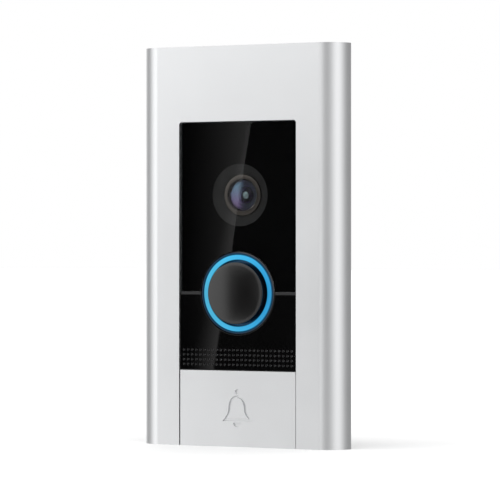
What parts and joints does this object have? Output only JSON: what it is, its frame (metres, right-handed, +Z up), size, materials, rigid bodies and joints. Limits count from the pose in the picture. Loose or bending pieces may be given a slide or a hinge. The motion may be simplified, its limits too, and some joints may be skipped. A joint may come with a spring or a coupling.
{
  "type": "video doorbell",
  "caption": "Flush-mounted video doorbell with a satin silver faceplate, a black window with a camera and speaker grille, a lit round call button and a rear network jack.",
  "frame": {"origin": "middle of the faceplate's outline, in the plane of the wall that the bracket and the faceplate's rim rest on", "axes": "+Z up along the faceplate's long side, +Y into the wall, +X to the right of a visitor facing the button"},
  "size_m": [0.0698, 0.0551, 0.122],
  "materials": {
    "satin_silver": "satin metallic paint over a moulded or cast plate, fine flake, no brushing",
    "black_glass": "polished glass, printed black on its back except over the camera",
    "gloss_black": "high-gloss moulded black, drilled with fine holes",
    "soft_black": "matt black foam, cloth and silicone",
    "light_diffuser": "frosted light guide, glowing sky blue",
    "button_black": "satin black moulded cap with a soft sheen",
    "housing_black": "fine spark-eroded texture on black moulded plastic",
    "lens_trim": "turned, dark anodised ring",
    "lens_glass": "coated optical glass with blue and violet reflections",
    "circuit_board": "green solder mask",
    "steel": "zinc-plated steel",
    "ferrite": "dark grey sintered ferrite",
    "cream_plastic": "natural moulded nylon"
  },
  "bodies": {
    "unit": {"faceplate": "satin_silver", "lower_cover": "satin_silver", "security_screw": "steel", "upper_glass": "black_glass", "lower_grille": "gloss_black", "grille_mesh": "soft_black", "window_gasket": "soft_black", "button_cup": "housing_black", "light_ring": "light_diffuser", "button_seal": "soft_black", "button_switch": "housing_black", "ring_led_board": "circuit_board", "camera_funnel": "housing_black", "lens_trim_ring": "lens_trim", "lens_front_element": "lens_glass", "lens_barrel": "housing_black", "lens_rear_element": "lens_glass", "lens_holder": "housing_black", "ir_cut_filter": "lens_glass", "image_sensor": "housing_black", "camera_board": "circuit_board", "camera_connector": "cream_plastic", "ir_led_1": "lens_glass", "ir_led_2": "lens_glass", "ir_led_3": "lens_glass", "ir_led_4": "lens_glass", "front_housing": "housing_black", "housing_seal": "soft_black", "rear_housing": "housing_black", "housing_screw_1": "steel", "housing_screw_2": "steel", "housing_screw_3": "steel", "housing_screw_4": "steel", "front_board": "circuit_board", "main_board": "circuit_board", "processor_shield": "steel", "poe_transformer": "ferrite", "capacitor": "steel", "speaker_basket": "housing_black", "speaker_cone": "soft_black", "speaker_magnet": "ferrite", "microphone": "steel", "microphone_boot": "soft_black", "wifi_antenna": "circuit_board", "io_board": "circuit_board", "ethernet_jack": "steel", "jack_contacts": "cream_plastic", "terminal_block": "cream_plastic", "terminal_screw_1": "steel", "terminal_screw_2": "steel", "bracket": "steel", "box_screw_top": "steel", "unit_screw_top": "steel", "box_screw_bottom": "steel", "unit_screw_bottom": "steel", "setup_switch": "housing_black"},
    "call_button": {"button_cap": "button_black", "button_plunger": "housing_black", "switch_plunger": "cream_plastic"},
    "setup_key": {"setup_button": "housing_black"}
  },
  "joints": [
    {"name": "call_button_press", "type": "slide", "parent": "unit", "child": "call_button", "axis": [0, 1, 0], "range_m": [0, 0.0006], "stiffness_N_per_m": 2500, "springref_m": -0.0004},
    {"name": "setup_button_press", "type": "slide", "parent": "unit", "child": "setup_key", "axis": [0, 1, 0], "range_m": [0, 0.0003], "stiffness_N_per_m": 3000, "springref_m": -0.0002}
  ]
}
